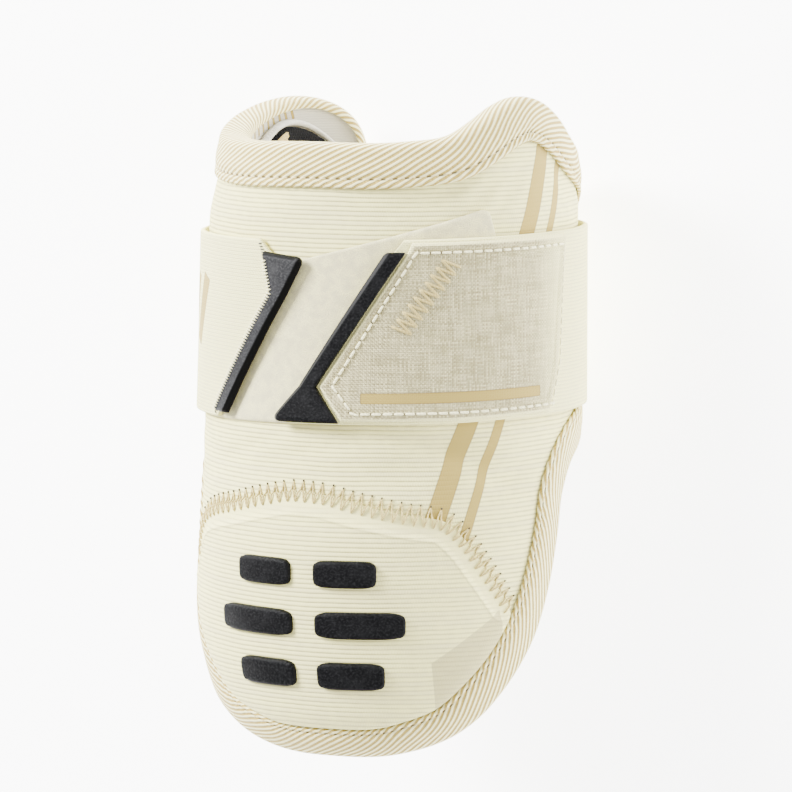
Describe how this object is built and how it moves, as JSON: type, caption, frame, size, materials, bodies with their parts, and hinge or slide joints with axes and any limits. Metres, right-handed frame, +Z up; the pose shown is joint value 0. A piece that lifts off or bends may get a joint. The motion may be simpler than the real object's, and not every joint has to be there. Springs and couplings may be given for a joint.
{
  "type": "elbow guard",
  "caption": "Padded knit-covered elbow guard with a twill-bound edge, a raised elbow cap with rubber bumpers and a wide elastic closing strap, lying on its back.",
  "frame": {"origin": "on the ground, under the middle of the guard's bounding box", "axes": "+Y along the arm, from the elbow lobe to the cuff; +Z up, out of the elbow cap; +X to the wearer's side that lies right when the cap is looked at with the cuff at the top"},
  "size_m": [0.1396, 0.2298, 0.1292],
  "materials": {
    "knit": "ribbed knit, matt",
    "lining_knit": "fine knit, matt",
    "twill_tape": "diagonal twill, matt",
    "elastic": "fine woven elastic, matt",
    "heather_weave": "heathered plain weave, matt",
    "loop_pile": "soft pile, matt",
    "moulded_rubber": "fine-grained, half matt",
    "pad_cloth": "matt",
    "white_piping": "matt",
    "tan_ribbon": "ribbed, matt"
  },
  "bodies": {
    "root": {"shell": "knit", "lining": "lining_knit", "edge_binding": "twill_tape", "elbow_cap": "knit", "cap_bumper_1": "moulded_rubber", "cap_bumper_2": "moulded_rubber", "cap_bumper_3": "moulded_rubber", "cap_bumper_4": "moulded_rubber", "cap_bumper_5": "moulded_rubber", "cap_bumper_6": "moulded_rubber", "strap": "elastic", "loop_panel": "loop_pile", "strap_cover": "heather_weave", "anchor_strip": "moulded_rubber", "pull_tab": "moulded_rubber", "inner_pad": "pad_cloth", "pad_piping": "white_piping", "pad_tab": "tan_ribbon"}
  },
  "joints": []
}
